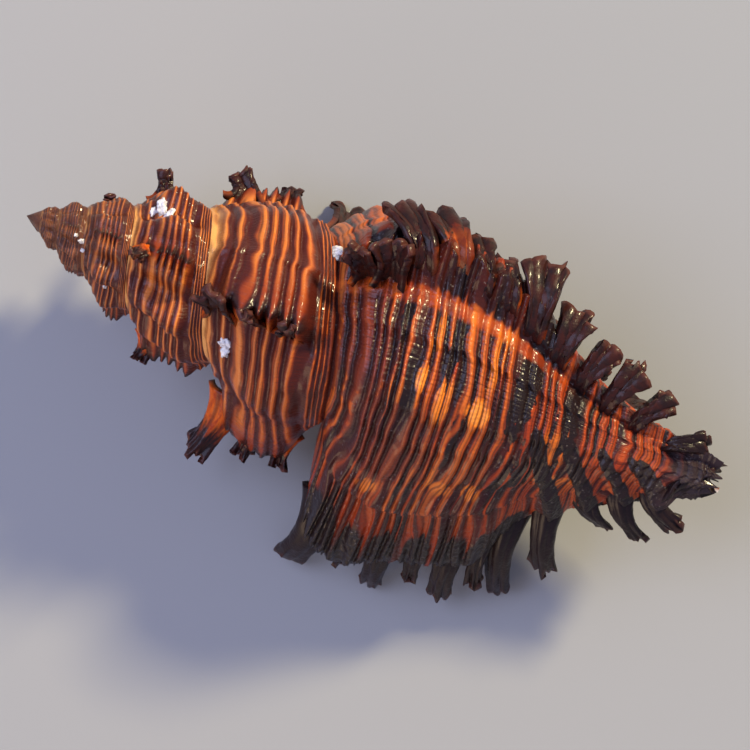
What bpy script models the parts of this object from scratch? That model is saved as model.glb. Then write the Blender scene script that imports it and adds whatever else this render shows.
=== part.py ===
"""A murex shell lying on its mouth side: one solid, grown as one piece.

The shell's axis lies along X, with the tip of the spire at -X and the end of the
siphonal canal at +X. The back is up, and the outer lip points to -Y. Growth is
counted in turns back from the edge of the lip: 0 is the lip, 1 is one whorl
earlier, and so on up to the tip of the spire.
"""

import math

import bmesh
import bpy
import numpy as np

MM = 0.001

# Driving dimensions of the whorls
LENGTH = 100.0 * MM          # unworn tip of the spire to the end of the canal
TIP = 1.4 * MM               # the very tip is worn away
AXIS_HEIGHT = 18.9 * MM      # the shell's axis over the surface it rests on
TURNS = 6                    # whorls from the lip to the tip
LIP_ANGLE = -32.0            # angle of the lip's edge round the axis, 0 is -Y, 90 is up
BACK = (90.0 - LIP_ANGLE) / 360.0
SEAM_ON_BACK = 45.0 * MM     # tip to the last seam, along the middle of the back
WHORL_GROWTH = 1.66          # each whorl starts this much further from the tip
SEAM_SLOWING = 56.0 * MM     # how much the last third of a turn climbs back
SPIRE_SLOPE = 0.49
SPIRE_ROUNDING = 83.7 * MM
SEAM_DEPTH = 0.76            # radius in the last seam, as a share of the whorl's radius
EARLY_SEAM_DEPTH = 0.90      # the same near the tip
SEAM_DEEPENS = (16.0 * MM, 40.0 * MM)
WHORL_FULLNESS = 1.02        # radius half way between two seams, as a share of the cone's

# The last whorl and the canal: share of the way from the seam to the canal's end, and radius
BACK_OUTLINE = ((0.066, 15.2), (0.164, 17.8), (0.262, 18.1), (0.36, 16.5), (0.483, 13.0),
                (0.581, 9.5), (0.654, 7.2), (0.752, 5.2), (0.85, 3.7), (1.0, 1.9))
INNER_OUTLINE = ((0.32, 9.2), (0.42, 7.0), (0.52, 5.8), (0.62, 5.1), (0.72, 4.4),
                 (0.80, 3.6), (0.88, 2.8), (1.0, 1.4))
CANAL_SIDESTEP = 2.3 * MM    # the canal leans towards the lip
CANAL_LIFT = 1.5 * MM        # and its end bends up

# Varices, the thick ribs of earlier lips: turn, height, width behind, width in front
VARICES = (
    (0.044, 14.0, 0.115, 0.044), (0.442, 6.4, 0.100, 0.030), (0.739, 5.0, 0.090, 0.030),
    (1.020, 6.6, 0.090, 0.020), (1.322, 4.9, 0.130, 0.024), (1.645, 3.0, 0.080, 0.024),
    (2.050, 2.6, 0.090, 0.030), (2.360, 2.2, 0.110, 0.030), (2.670, 1.9, 0.080, 0.030),
    (3.040, 1.3, 0.090, 0.030), (3.370, 1.1, 0.090, 0.030), (3.700, 0.9, 0.080, 0.030),
    (4.030, 0.6, 0.090, 0.040), (4.370, 0.5, 0.090, 0.040), (4.700, 0.4, 0.090, 0.040),
)
# Rounded knobs on the shoulder between the varices: turn, height, half width
KNOBS = ((0.294, 1.5, 0.030), (0.150, 1.1, 0.030), (0.600, 1.3, 0.035), (0.870, 1.0, 0.035),
         (1.175, 1.2, 0.040), (1.490, 1.0, 0.040), (1.830, 0.9, 0.045),
         (2.200, 0.7, 0.045), (2.520, 0.6, 0.045), (2.860, 0.5, 0.045))

# Fronds: turn of the root, distances from the tip of the spire to the root and to the
# frond's own tip, where that tip is (towards the lip, up from the axis), width at the
# root and at the tip, and half the angle that its trough curls through
FRONDS = (
    # edge of the lip
    (0.050, 51.6, 48.4, 32.2, -19.4, 7.4, 6.0, 80),
    (0.044, 56.2, 55.6, 30.6, -14.0, 5.4, 3.0, 60),
    (0.044, 60.4, 61.0, 32.0, -19.4, 5.6, 4.0, 70),
    (0.044, 65.0, 65.6, 29.4, -14.0, 5.6, 3.0, 60),
    (0.044, 69.4, 70.2, 30.8, -17.0, 6.0, 4.0, 75),
    (0.044, 72.8, 74.2, 27.6, -13.6, 4.6, 3.0, 60),
    (0.044, 75.2, 78.2, 27.4, -19.4, 5.6, 4.4, 80),
    # lower side of the canal
    (0.060, 79.6, 83.0, 22.6, -12.6, 5.0, 4.2, 80),
    (0.080, 83.4, 88.8, 13.2, -5.6, 5.2, 3.0, 85),
    (0.090, 87.8, 93.4, 13.6, -5.4, 4.8, 3.2, 85),
    (0.100, 91.6, 97.6, 10.6, -2.2, 4.4, 3.4, 85),
    # fan at the end of the canal
    (0.100, 93.0, 98.6, 1.2, 4.0, 4.6, 6.4, 50),
    # upper row of the last whorl
    (0.418, 47.0, 43.6, -9.8, 19.4, 4.4, 3.6, 110),
    (0.418, 49.8, 48.4, -12.6, 20.0, 4.8, 4.2, 115),
    (0.430, 53.4, 46.6, -18.8, 13.6, 6.4, 5.4, 105),
    (0.436, 57.6, 52.4, -19.6, 12.8, 7.6, 6.8, 80),
    (0.430, 61.9, 57.9, -18.0, 13.4, 6.4, 4.8, 65),
    (0.430, 65.6, 62.3, -16.6, 13.4, 6.0, 4.6, 70),
    (0.424, 69.4, 67.8, -18.6, 13.0, 6.6, 6.4, 85),
    (0.424, 73.6, 74.6, -13.2, 11.8, 6.0, 5.6, 85),
    (0.418, 77.6, 80.4, -9.6, 11.0, 5.4, 5.6, 70),
    (0.418, 81.8, 85.2, -8.8, 9.2, 5.2, 5.4, 70),
    (0.418, 86.2, 90.6, -5.6, 7.8, 4.8, 5.0, 70),
    (0.400, 91.0, 97.6, -1.6, 5.4, 4.4, 4.8, 60),
    # hidden row under the shell
    (0.716, 42.0, 41.0, -16.6, -19.5, 6.4, 6.0, 90),
    (0.716, 47.6, 47.6, -17.0, -18.0, 5.8, 4.8, 70),
    (0.716, 53.4, 54.0, -16.4, -18.2, 5.8, 4.8, 70),
    (0.716, 59.2, 60.4, -15.0, -17.6, 5.8, 4.8, 70),
    (0.716, 65.0, 67.4, -14.2, -19.5, 5.8, 5.8, 85),
    (0.716, 71.0, 74.4, -10.6, -15.4, 5.6, 4.6, 75),
    (0.716, 77.0, 82.0, -6.8, -12.4, 4.8, 4.2, 75),
    (0.716, 84.0, 89.0, -4.4, -8.8, 4.2, 4.0, 75),
    # second whorl back, lip side
    (1.020, 34.6, 31.6, 23.6, -10.5, 6.4, 4.6, 75),
    (1.020, 39.0, 38.4, 21.0, -10.4, 5.4, 3.6, 60),
    (1.020, 43.2, 43.6, 20.6, -10.6, 5.2, 3.4, 60),
    # second whorl back, on the back and the far side
    (1.304, 30.8, 27.8, 1.6, 18.2, 4.4, 4.0, 110),
    (1.304, 35.4, 33.6, 3.2, 20.2, 4.4, 2.8, 60),
    (1.304, 39.8, 39.2, 2.8, 20.6, 4.4, 2.8, 70),
    (1.645, 27.8, 25.4, -15.2, -5.4, 5.6, 3.6, 85),
    (1.645, 33.4, 33.4, -15.6, -7.4, 5.2, 3.2, 70),
    # spines of the early whorls
    (2.050, 22.2, 21.3, 13.2, -4.0, 4.6, 2.8, 75),
    (2.360, 18.5, 17.4, 1.0, 11.2, 3.6, 2.4, 75),
    (2.670, 17.6, 16.4, -12.2, -4.0, 4.4, 2.6, 75),
    (3.700, 11.2, 10.6, -6.4, -2.4, 2.4, 1.6, 60),
)
FROND_WALL = 0.95 * MM
FROND_STATIONS = (0.0, 0.3, 0.6, 0.85, 1.0)
FROND_TURNS_ACROSS = (0.6, 0.95)   # share of its way along the shell where its width turns

# The mouth and the siphonal canal: turn, distance from the tip, radius, half length, half width
MOUTH = ((-0.060, 60.5, 13.2, 11.4, 5.2), (-0.010, 60.5, 12.8, 11.2, 5.0),
         (0.040, 60.4, 12.4, 10.8, 4.7), (0.100, 60.1, 12.1, 10.2, 4.4),
         (0.170, 59.4, 11.8, 9.4, 4.1), (0.240, 58.4, 11.5, 8.6, 3.8),
         (0.310, 57.2, 11.3, 7.6, 3.4), (0.380, 56.0, 11.1, 6.2, 2.8),
         (0.430, 55.2, 10.9, 4.2, 1.8))
MOUTH_SLANT = 1.2            # its end near the seam lies this much further out
CANAL_SLIT = 1.5 * MM
CANAL_SLIT_ANGLE = -52.0
CANAL_SLIT_START = 67.5 * MM

# How finely the faceted solid is divided
COLUMNS = 46
SPIRE_ROWS = 5
BODY_ROWS = 21

SHELL_ORANGE = (0.52, 0.17, 0.045, 1.0)


def ease(low, high, value):
    """A smooth step from 0 at low to 1 at high."""
    share = np.clip((value - low) / (high - low), 0.0, 1.0)
    return share * share * (3.0 - 2.0 * share)


def smooth_curve(points, at):
    """A curve through points (place, value), smooth in between."""
    place = np.array([p[0] for p in points])
    value = np.array([p[1] for p in points])
    slope = np.gradient(value, place)
    i = np.clip(np.searchsorted(place, at) - 1, 0, len(place) - 2)
    step = place[i + 1] - place[i]
    s = np.clip((at - place[i]) / step, 0.0, 1.0)
    return ((1 + 2 * s) * (1 - s) ** 2 * value[i] + s * (1 - s) ** 2 * step * slope[i]
            + s * s * (3 - 2 * s) * value[i + 1] + s * s * (s - 1) * step * slope[i + 1])


def seam(turn):
    """Distance from the tip to the seam at the top of the whorl."""
    late = np.maximum(0.0, BACK - turn)
    return SEAM_ON_BACK * WHORL_GROWTH ** (BACK - turn) - SEAM_SLOWING * late ** 2


def spire_outline(distance):
    return SPIRE_SLOPE * distance / (1.0 + (distance / SPIRE_ROUNDING) ** 1.6)


def seam_depth(distance):
    return EARLY_SEAM_DEPTH + (SEAM_DEPTH - EARLY_SEAM_DEPTH) * ease(*SEAM_DEEPENS, distance)


def spire_radius(turn, share):
    """Radius of an earlier whorl, from its seam (share 0) to the next seam (share 1)."""
    top, bottom = seam(turn), seam(turn - 1.0)
    in_seam = ((1 - share) * seam_depth(top) * spire_outline(top)
               + share * seam_depth(bottom) * spire_outline(bottom))
    bulge = np.sin(math.pi * share ** 1.1) ** 0.8
    return in_seam + (WHORL_FULLNESS - seam_depth(top)) * spire_outline((top + bottom) / 2) * bulge


INNER_SEAM_SHARE = float((seam(0.0) - seam(1.0)) / (LENGTH - seam(1.0)))


def body_radius(turn, share):
    """Radius of the last whorl, from its seam (share 0) to the end of the canal (share 1)."""
    start = seam_depth(seam(turn)) * spire_outline(seam(turn)) / MM
    outer = smooth_curve(((0.0, float(start)),) + BACK_OUTLINE, share) * MM
    if share <= INNER_SEAM_SHARE:
        inner = spire_radius(1.0, share / INNER_SEAM_SHARE)
    else:
        meet = float(spire_radius(1.0, 1.0)) / MM
        inner = smooth_curve(((INNER_SEAM_SHARE, meet),) + INNER_OUTLINE, share) * MM
    early = ease(0.40, 1.0, turn)
    return (1 - early) * outer + early * inner


def rib_profile(offset, behind, front):
    """Height of a varix across its growth: steep in front, sloping behind."""
    if offset >= 0.0:
        return max(0.0, 1.0 - offset / behind) ** 1.6
    return max(0.0, 1.0 + offset / front) ** 1.2


def along_varix(turn, share):
    """Height of a varix from the seam to the end of its whorl."""
    if turn < 0.2:
        rise = ease(-0.02, 0.05, share)
        fall = 0.25 * ease(0.10, 0.28, share) + 0.42 * ease(0.46, 0.57, share)
        return rise * (1.0 - fall - 0.22 * ease(0.60, 0.95, share))
    if turn < 1.0:
        return ease(-0.02, 0.10, share) * (1.0 - 0.75 * ease(0.30, 0.75, share))
    return ease(0.0, 0.25, share) * (1.0 - ease(0.75, 1.0, share))


def relief(turn, share):
    """Varices and knobs, as a height over the plain whorl."""
    high = 0.0
    for where, height, behind, front in VARICES:
        if (where < 1.0) == (turn < 1.0):
            high = max(high, height * rib_profile(turn - where, behind, front)
                       * along_varix(where, share))
    for where, height, half in KNOBS:
        if (where < 1.0) == (turn < 1.0):
            place = 0.17 if where < 1.0 else 0.5
            spread = 0.13 if where < 1.0 else 0.25
            high += height * math.exp(-((turn - where) / half) ** 2 - ((share - place) / spread) ** 2)
    return high * MM


def centre(distance):
    """The shell's middle line: straight, then leaning towards the lip and up in the canal."""
    lean = ease(62.0 * MM, 88.0 * MM, distance)
    return -CANAL_SIDESTEP * lean, CANAL_LIFT * ease(76.0 * MM, LENGTH, distance)


def around(turn, distance, radius):
    """A point at this growth angle, distance from the tip and radius."""
    angle = math.radians(LIP_ANGLE + 360.0 * turn)
    side, up = centre(distance)
    return np.array((float(distance), float(side - radius * math.cos(angle)),
                     float(up + radius * math.sin(angle))))


def growth_steps():
    """Shares of a turn where the mesh has a line, closer together at the varices."""
    fine = np.linspace(0.0, 1.0, 2001)
    density = np.ones_like(fine)
    for where, _, _, front in VARICES[:9]:
        gap = np.abs((fine - where + 0.5) % 1.0 - 0.5)
        density += (4.0 if where < 1.0 else 1.6) * np.exp(-(gap / (1.2 * front)) ** 2)
    total = np.concatenate(([0.0], np.cumsum((density[1:] + density[:-1]) / 2)))
    return np.interp(np.linspace(0.0, total[-1], COLUMNS + 1), total, fine)


def whorl_point(turn, share):
    if turn < 1.0:
        top = seam(turn)
        distance = top + (LENGTH - top) * share
        return around(turn, distance, body_radius(turn, share) + relief(turn, share))
    distance = seam(turn) + share * (seam(turn - 1.0) - seam(turn))
    return around(turn, distance, spire_radius(turn, share) + relief(turn, share))


def whorls_mesh():
    """The coiled body as one closed mesh, without fronds or mouth."""
    steps = growth_steps()
    inner_shares = [INNER_SEAM_SHARE * j / SPIRE_ROWS for j in range(SPIRE_ROWS)]
    outer_shares = list(np.linspace(INNER_SEAM_SHARE, 1.0, BODY_ROWS - SPIRE_ROWS + 1))
    shares = inner_shares + outer_shares
    mesh = bmesh.new()
    body, spire = {}, {}
    for i, step in enumerate(steps[:-1]):
        for j, share in enumerate(shares[:-1]):
            body[i, j] = mesh.verts.new(whorl_point(step, share))
    canal_end = mesh.verts.new(around(0.0, LENGTH, 0.0))
    for i in range(COLUMNS + 1):
        body[i, BODY_ROWS] = canal_end

    last = COLUMNS * (TURNS - 1)
    for i in range(last + 1):
        turn = 1.0 + i // COLUMNS + steps[i % COLUMNS]
        for j in range(SPIRE_ROWS + 1):
            if j == SPIRE_ROWS:
                spire[i, j] = body[i, 0] if i < COLUMNS else spire[i - COLUMNS, 0]
            else:
                spire[i, j] = mesh.verts.new(whorl_point(turn, j / SPIRE_ROWS))
    for j in range(SPIRE_ROWS + 1):
        body[COLUMNS, j] = spire[0, j]
    for j in range(SPIRE_ROWS + 1, BODY_ROWS):
        turn, share = 0.99999, shares[j]
        body[COLUMNS, j] = mesh.verts.new(whorl_point(turn, share))

    def face(*corners):
        loop = [c for k, c in enumerate(corners) if c is not corners[k - 1]]
        if len(loop) > 2:
            mesh.faces.new(loop)

    for i in range(COLUMNS):
        for j in range(BODY_ROWS):
            face(body[i, j], body[i, j + 1], body[i + 1, j + 1], body[i + 1, j])
    for i in range(last):
        for j in range(SPIRE_ROWS):
            face(spire[i, j], spire[i, j + 1], spire[i + 1, j + 1], spire[i + 1, j])

    # the closing face behind the lip, between its edge and the whorl one turn earlier
    outer = [body[0, j] for j in range(1, BODY_ROWS + 1)]
    inner = [body[COLUMNS, j] for j in range(SPIRE_ROWS + 1, BODY_ROWS + 1)]
    a, b, start = 0, 0, body[0, 0]
    left, right = start, start
    while left is not canal_end or right is not canal_end:
        step_left = right is canal_end or (left is not canal_end and outer[a].co.x <= inner[b].co.x)
        if step_left:
            face(right, outer[a], left)
            left, a = outer[a], a + 1
        else:
            face(right, inner[b], left)
            right, b = inner[b], b + 1

    # the tip of the spire
    tip = mesh.verts.new((TIP, 0.0, 0.0))
    for i in range(last - COLUMNS, last):
        face(tip, spire[i, 0], spire[i + 1, 0])
    for j in range(SPIRE_ROWS):
        face(tip, spire[last, j], spire[last, j + 1])
    bmesh.ops.remove_doubles(mesh, verts=mesh.verts, dist=1e-6)
    bmesh.ops.recalc_face_normals(mesh, faces=mesh.faces)
    return mesh


def frond_root(turn, distance):
    """Where a frond grows from, a little under the crest of its varix, and the way out."""
    top = seam(turn)
    if turn < 1.0:
        share = (distance - top) / (LENGTH - top)
        radius = body_radius(turn, share)
    else:
        share = (distance - top) / (seam(turn - 1.0) - top)
        radius = spire_radius(turn, share)
    crest = relief(turn, share)
    root = around(turn, distance, radius + 0.6 * crest - 0.8 * MM)
    edge = around(turn, distance, radius + crest + 1.0 * MM)
    return root, edge


def frond_mesh(turn, root_at, tip_at, side, up, root_width, tip_width, curl):
    """One frond: a bent trough, hollow towards the growing edge, as a closed solid.

    It is wide along the crest of its varix, which runs along the shell and turns across
    at the end of the canal.
    """
    root, edge = frond_root(turn, root_at * MM)
    tip = np.array((tip_at * MM, -side * MM, up * MM))
    bend = root + (edge - root) * 0.5 * np.linalg.norm(tip - root) / np.linalg.norm(edge - root)
    heading = (tip - root) / np.linalg.norm(tip - root)
    lean = float(ease(*FROND_TURNS_ACROSS, abs(heading[0])))
    crest = np.array((1.0 - lean, lean if turn < 0.25 else -lean, 0.0))
    curl = math.radians(curl)
    mesh = bmesh.new()
    rings = []
    for share in FROND_STATIONS:
        middle = (1 - share) ** 2 * root + 2 * share * (1 - share) * bend + share ** 2 * tip
        way = (1 - share) * (bend - root) + share * (tip - bend)
        way = way / np.linalg.norm(way)
        ahead = np.cross(crest, way)
        ahead = ahead / np.linalg.norm(ahead)
        beside = np.cross(ahead, way)
        width = root_width * (1 - share) ** 1.5 + tip_width * share ** 1.5
        size = 0.5 * width * MM / max(math.sin(curl), 0.9)
        wall = min(FROND_WALL, 0.6 * size)
        section = [(size, k * curl) for k in (-1.0, -0.35, 0.35, 1.0)]
        section += [(size - wall, k * curl) for k in (0.55, -0.55)]
        rings.append([mesh.verts.new(middle + r * math.sin(angle) * beside
                                     + (0.75 * size - r * math.cos(angle)) * ahead)
                      for r, angle in section])
    for near, far in zip(rings, rings[1:]):
        for k in range(len(near)):
            mesh.faces.new((near[k - 1], near[k], far[k], far[k - 1]))
    mesh.faces.new(rings[0])
    mesh.faces.new(rings[-1])
    bmesh.ops.recalc_face_normals(mesh, faces=mesh.faces)
    return mesh


def mouth_mesh():
    """The hollow of the mouth, an egg-shaped tube that follows the coil inwards."""
    sides = 12
    mesh = bmesh.new()
    rings = []
    for turn, distance, radius, half_long, half_wide in MOUTH:
        ring = []
        for k in range(sides):
            angle = 2 * math.pi * k / sides
            ring.append(mesh.verts.new(around(
                turn, (distance + half_long * math.cos(angle)) * MM,
                (radius + half_wide * math.sin(angle) - MOUTH_SLANT * math.cos(angle)) * MM)))
        rings.append(ring)
    for near, far in zip(rings, rings[1:]):
        for k in range(sides):
            mesh.faces.new((near[k - 1], near[k], far[k], far[k - 1]))
    mesh.faces.new(rings[0])
    mesh.faces.new(rings[-1])
    bmesh.ops.recalc_face_normals(mesh, faces=mesh.faces)
    return mesh


def slit_mesh():
    """The groove of the siphonal canal, from the mouth to the end."""
    angle = math.radians(CANAL_SLIT_ANGLE)
    out = np.array((0.0, -math.cos(angle), math.sin(angle)))
    across = np.array((0.0, math.sin(angle), math.cos(angle)))
    mesh = bmesh.new()
    rings = []
    for distance in np.linspace(CANAL_SLIT_START, LENGTH + 2 * MM, 7):
        side, up = centre(distance)
        middle = np.array((distance, float(side), float(up)))
        half = 0.5 * CANAL_SLIT * (1.0 + 0.8 * float(ease(80 * MM, 70 * MM, distance)))
        rings.append([mesh.verts.new(middle + r * out + w * across) for r, w in (
            (0.2 * MM, -half), (0.2 * MM, half), (14 * MM, 1.5 * half), (14 * MM, -1.5 * half))])
    for near, far in zip(rings, rings[1:]):
        for k in range(4):
            mesh.faces.new((near[k - 1], near[k], far[k], far[k - 1]))
    mesh.faces.new(rings[0])
    mesh.faces.new(rings[-1])
    bmesh.ops.recalc_face_normals(mesh, faces=mesh.faces)
    return mesh


def add_object(name, mesh, hidden=False):
    data = bpy.data.meshes.new(name)
    mesh.to_mesh(data)
    mesh.free()
    made = bpy.data.objects.new(name, data)
    bpy.context.scene.collection.objects.link(made)
    if hidden:
        made.hide_render = True
        made.display_type = "WIRE"
    return made


def shell_material():
    material = bpy.data.materials.new("shell")
    material.use_nodes = True
    principled = material.node_tree.nodes["Principled BSDF"]
    principled.inputs["Base Color"].default_value = SHELL_ORANGE
    principled.inputs["Roughness"].default_value = 0.35
    principled.inputs["Metallic"].default_value = 0.0
    return material


def boolean(target, operation, other=None, group=None):
    step = target.modifiers.new(operation.lower(), "BOOLEAN")
    step.operation = operation
    step.solver = "EXACT"
    if group is not None:
        step.operand_type = "COLLECTION"
        step.collection = group
    else:
        step.object = other
    return step


def settle(target):
    """Replaces the object's mesh by what its modifiers make of it."""
    bpy.context.view_layer.update()
    made = bpy.data.meshes.new_from_object(
        target.evaluated_get(bpy.context.evaluated_depsgraph_get()))
    target.modifiers.clear()
    target.data = made


def build():
    for old in list(bpy.data.objects):
        bpy.data.objects.remove(old, do_unlink=True)

    shell = add_object("shell", whorls_mesh())
    fronds = bpy.data.collections.new("fronds")
    bpy.context.scene.collection.children.link(fronds)
    for number, frond in enumerate(FRONDS, 1):
        piece = add_object(f"frond_{number:02d}", frond_mesh(*frond), hidden=True)
        bpy.context.scene.collection.objects.unlink(piece)
        fronds.objects.link(piece)
    mouth = add_object("mouth", mouth_mesh(), hidden=True)
    slit = add_object("slit", slit_mesh(), hidden=True)

    # the surface it rests on wears the lowest frond tips flat
    floor = bmesh.new()
    bmesh.ops.create_cube(floor, size=1.0)
    for vert in floor.verts:
        vert.co = (0.2 * vert.co.x + 0.05, 0.2 * vert.co.y, 0.05 * vert.co.z)
        vert.co.z -= AXIS_HEIGHT + 0.025
    worn = add_object("worn", floor, hidden=True)

    boolean(shell, "DIFFERENCE", mouth)
    boolean(shell, "DIFFERENCE", slit)
    boolean(shell, "UNION", group=fronds)
    boolean(shell, "DIFFERENCE", worn)
    settle(shell)

    # stand it on the ground, centred
    points = np.array([v.co for v in shell.data.vertices])
    low, high = points.min(axis=0), points.max(axis=0)
    shift = (-(low[0] + high[0]) / 2, -(low[1] + high[1]) / 2, AXIS_HEIGHT)
    for vert in shell.data.vertices:
        vert.co.x += shift[0]
        vert.co.y += shift[1]
        vert.co.z += shift[2]
    shell.data.shade_smooth()
    shell.data.set_sharp_from_angle(angle=math.radians(50))
    shell.data.materials.clear()
    shell.data.materials.append(shell_material())


build()
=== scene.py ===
"""The looks of a murex shell that lies on its mouth side, seen from straight above."""

import math

import bmesh
import bpy
import numpy as np
from mathutils import Matrix, Vector


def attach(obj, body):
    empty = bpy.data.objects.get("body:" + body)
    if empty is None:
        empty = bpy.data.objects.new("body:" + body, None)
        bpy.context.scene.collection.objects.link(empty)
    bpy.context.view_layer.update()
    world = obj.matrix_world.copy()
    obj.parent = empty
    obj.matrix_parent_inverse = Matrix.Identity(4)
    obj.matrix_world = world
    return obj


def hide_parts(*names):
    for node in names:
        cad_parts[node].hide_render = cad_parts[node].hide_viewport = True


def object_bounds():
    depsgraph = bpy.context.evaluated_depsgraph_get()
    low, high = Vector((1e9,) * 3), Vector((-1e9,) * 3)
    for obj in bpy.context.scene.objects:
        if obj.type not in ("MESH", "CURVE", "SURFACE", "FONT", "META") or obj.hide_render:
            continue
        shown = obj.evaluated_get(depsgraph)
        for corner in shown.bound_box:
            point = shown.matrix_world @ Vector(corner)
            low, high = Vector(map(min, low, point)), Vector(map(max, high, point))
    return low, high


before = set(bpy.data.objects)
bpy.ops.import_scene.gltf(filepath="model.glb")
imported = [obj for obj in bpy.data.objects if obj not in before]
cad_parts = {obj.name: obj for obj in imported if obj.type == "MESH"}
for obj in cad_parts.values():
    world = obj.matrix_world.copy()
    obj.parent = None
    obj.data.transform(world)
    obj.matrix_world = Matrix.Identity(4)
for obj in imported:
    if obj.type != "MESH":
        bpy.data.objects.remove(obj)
solid_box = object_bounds()

# Camera, floor and light
# The shell lies on a plain pale sheet. The camera looks straight down on it, turned so
# that the spire is at the left and the canal falls off to the lower right.

MM = 0.001
ROLL = math.radians(19.4)
CAMERA_HEIGHT = 0.46
CAMERA_LENS = 166.0
LOOK_AT = Vector((0.0009, 0.0006, 0.0175))
# name, then aside, above, height and size in metres, power in watts, colour
LIGHTS = (("key", 1.15, 1.10, 1.15, 0.26, 66.0, (1.0, 0.86, 0.50)),
          ("fill", -0.9, 0.3, 1.2, 1.2, 20.0, (0.58, 0.65, 1.0)),
          ("bounce", -0.9, -1.0, 0.34, 0.8, 9.0, (1.0, 0.70, 0.42)))
SKY_COLOUR = (0.61, 0.67, 1.0, 1.0)
SKY_STRENGTH = 0.58
FLOOR_GREY = (0.27, 0.27, 0.27, 1.0)
FLOOR_ROUGHNESS = 0.6
FLOOR_REACH = 2.0

right = Vector((math.cos(ROLL), math.sin(ROLL), 0.0))
upward = Vector((-math.sin(ROLL), math.cos(ROLL), 0.0))


def new_object(name, data):
    """A new object in the scene, at the origin, for this mesh, light or lens."""
    made = bpy.data.objects.new(name, data)
    bpy.context.scene.collection.objects.link(made)
    return made


def new_material(name):
    """A new material, with its node tree and its surface node."""
    made = bpy.data.materials.new(name)
    made.use_nodes = True
    return made, made.node_tree, made.node_tree.nodes["Principled BSDF"]


lens = bpy.data.cameras.new("camera")
lens.lens = CAMERA_LENS
lens.clip_start = 0.01
camera = new_object("camera", lens)
camera_place = Matrix.Translation(LOOK_AT + Vector((0, 0, CAMERA_HEIGHT)))
camera.matrix_world = camera_place @ Matrix.Rotation(ROLL, 4, "Z")
bpy.context.scene.camera = camera


def soft_light(name, aside, above, height, size, power, colour):
    """A square soft light, placed in the picture's own directions and aimed at the shell."""
    data = bpy.data.lights.new(name, "AREA")
    data.size = size
    data.energy = power
    data.color = colour
    lamp = new_object(name, data)
    place = right * aside + upward * above + Vector((0, 0, height))
    aim = (-place).to_track_quat("-Z", "Y").to_matrix().to_4x4()
    lamp.matrix_world = Matrix.Translation(place) @ aim


for lamp_sizes in LIGHTS:
    soft_light(*lamp_sizes)

sky = bpy.data.worlds.new("room")
sky.use_nodes = True
sky.node_tree.nodes["Background"].inputs["Color"].default_value = SKY_COLOUR
sky.node_tree.nodes["Background"].inputs["Strength"].default_value = SKY_STRENGTH
bpy.context.scene.world = sky
bpy.context.scene.view_settings.view_transform = "Standard"

corners = [(a * FLOOR_REACH, b * FLOOR_REACH, 0) for a, b in ((-1, -1), (1, -1), (1, 1), (-1, 1))]
floor_mesh = bpy.data.meshes.new("floor")
floor_mesh.from_pydata(corners, [], [(0, 1, 2, 3)])
pale_sheet, _, surface = new_material("pale_sheet")
surface.inputs["Base Color"].default_value = FLOOR_GREY
surface.inputs["Roughness"].default_value = FLOOR_ROUGHNESS
floor_mesh.materials.append(pale_sheet)
floor = new_object("floor", floor_mesh)

# Whorls
# The shell is one coiled tube of shell lime. Its whorls carry spiral cords, knobs on the
# shoulder, and three thick ribs a turn, where the lip stood while the animal rested.

TIP = 1.4 * MM               # what is worn off the tip of the spire
LENGTH = 100.0 * MM
# where the growth axis starts: at the unworn tip, beside the middle of the box, above the floor
AXIS = Vector((float(solid_box[0][0]) - TIP, 5.185 * MM, 18.9 * MM))
TURNS = 6
FULL_TURN = 0.99999          # just short of where the last whorl meets its own lip
LIP_ANGLE = -32.0            # degrees up from level; turns count from the lip, back to the tip
BACK = (90.0 - LIP_ANGLE) / 360.0
SEAM_ON_BACK = 45.0 * MM
WHORL_GROWTH = 1.66
SEAM_SLOWING = 56.0 * MM
SPIRE_SLOPE = 0.49
SPIRE_ROUNDING = 83.7 * MM
SEAM_DEPTH = 0.76
EARLY_SEAM_DEPTH = 0.90
SEAM_DEEPENS = (16.0 * MM, 40.0 * MM)
WHORL_FULLNESS = 1.02
# share of the way from the seam to the end of the canal, radius in millimetres
BACK_OUTLINE = ((0.066, 15.2), (0.164, 17.8), (0.262, 18.1), (0.36, 16.5), (0.483, 13.0),
                (0.581, 9.5), (0.654, 7.2), (0.752, 5.2), (0.85, 3.7), (1.0, 1.9))
INNER_OUTLINE = ((0.32, 9.2), (0.42, 7.0), (0.52, 5.8), (0.62, 5.1), (0.72, 4.4),
                 (0.80, 3.6), (0.88, 2.8), (1.0, 1.4))
CANAL_SIDESTEP = 2.3 * MM
CANAL_LIFT = 1.5 * MM

# The thick ribs: turn, height in millimetres, then their width behind and in front in turns
VARICES = (
    (0.044, 14.0, 0.115, 0.044), (0.442, 6.4, 0.100, 0.030), (0.739, 5.0, 0.090, 0.030),
    (1.020, 6.6, 0.090, 0.020), (1.322, 4.9, 0.130, 0.024), (1.645, 3.0, 0.080, 0.024),
    (2.050, 2.6, 0.090, 0.030), (2.360, 2.2, 0.110, 0.030), (2.670, 1.9, 0.080, 0.030),
    (3.040, 1.3, 0.090, 0.030), (3.370, 1.1, 0.090, 0.030), (3.700, 0.9, 0.080, 0.030),
    (4.030, 0.6, 0.090, 0.040), (4.370, 0.5, 0.090, 0.040), (4.700, 0.4, 0.090, 0.040),
)
# The knobs: turn, height in millimetres, half width in turns
KNOBS = ((0.294, 1.5, 0.030), (0.150, 1.1, 0.030), (0.600, 1.3, 0.035), (0.870, 1.0, 0.035),
         (1.175, 1.2, 0.040), (1.490, 1.0, 0.040), (1.830, 0.9, 0.045),
         (2.200, 0.7, 0.045), (2.520, 0.6, 0.045), (2.860, 0.5, 0.045))
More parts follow.
